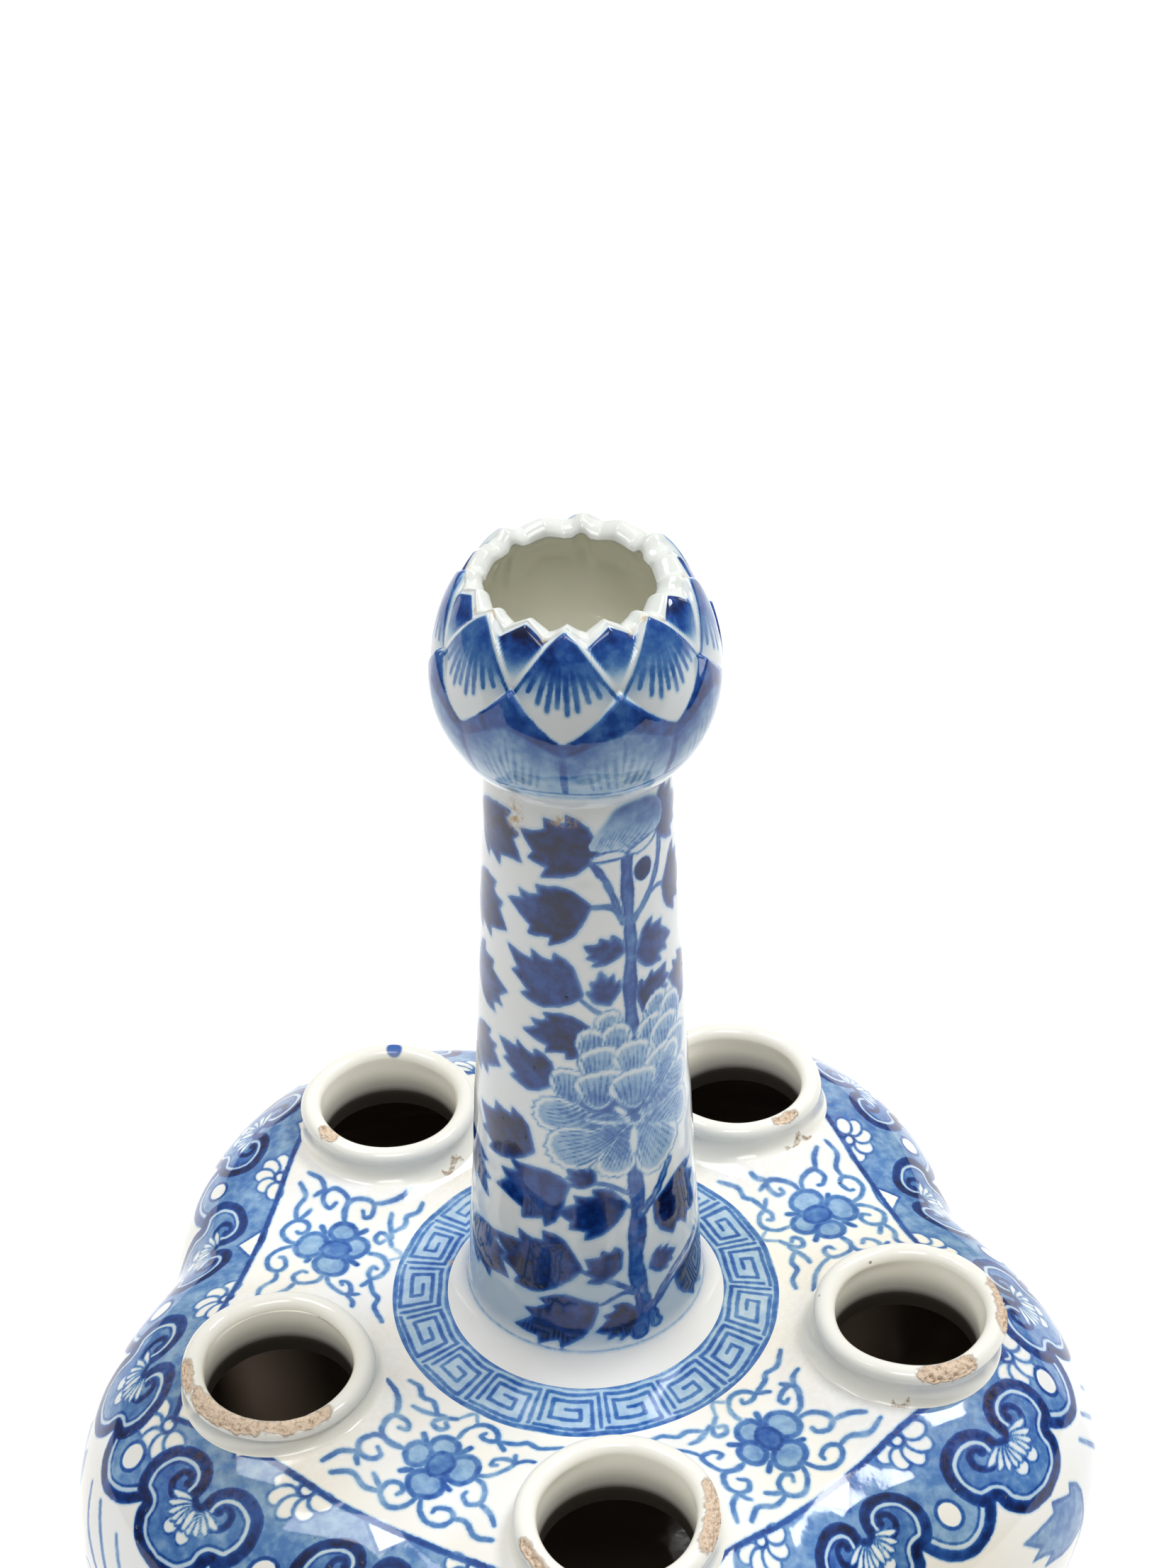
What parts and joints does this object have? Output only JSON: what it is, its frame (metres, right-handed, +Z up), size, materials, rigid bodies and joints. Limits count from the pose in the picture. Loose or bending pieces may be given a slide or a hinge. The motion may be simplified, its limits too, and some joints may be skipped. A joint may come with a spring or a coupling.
{
  "type": "tulip vase",
  "caption": "Lobed porcelain tulip vase with short round spouts on its shoulder and a tall tapering neck that ends in a lotus-bud mouth; holds water and cut stems.",
  "frame": {"origin": "centre of the foot on the table plane, on the axis of the neck", "axes": "+Z up along the neck, -Y towards spout 1, which faces the viewer in the picture"},
  "size_m": [0.1924, 0.1888, 0.2452],
  "materials": {
    "painted_glaze": "clear gloss glaze over cobalt-blue painting",
    "white_glaze": "clear gloss glaze on white porcelain, chipped at the lips",
    "foot_glaze": "clear gloss glaze, bare biscuit where the ring stands"
  },
  "bodies": {
    "root": {"foot_ring": "foot_glaze", "lower_body": "painted_glaze", "shoulder": "painted_glaze", "spout_1": "white_glaze", "spout_2": "white_glaze", "spout_3": "white_glaze", "spout_4": "white_glaze", "spout_5": "white_glaze", "neck": "painted_glaze", "lotus_bud": "painted_glaze"}
  },
  "joints": []
}
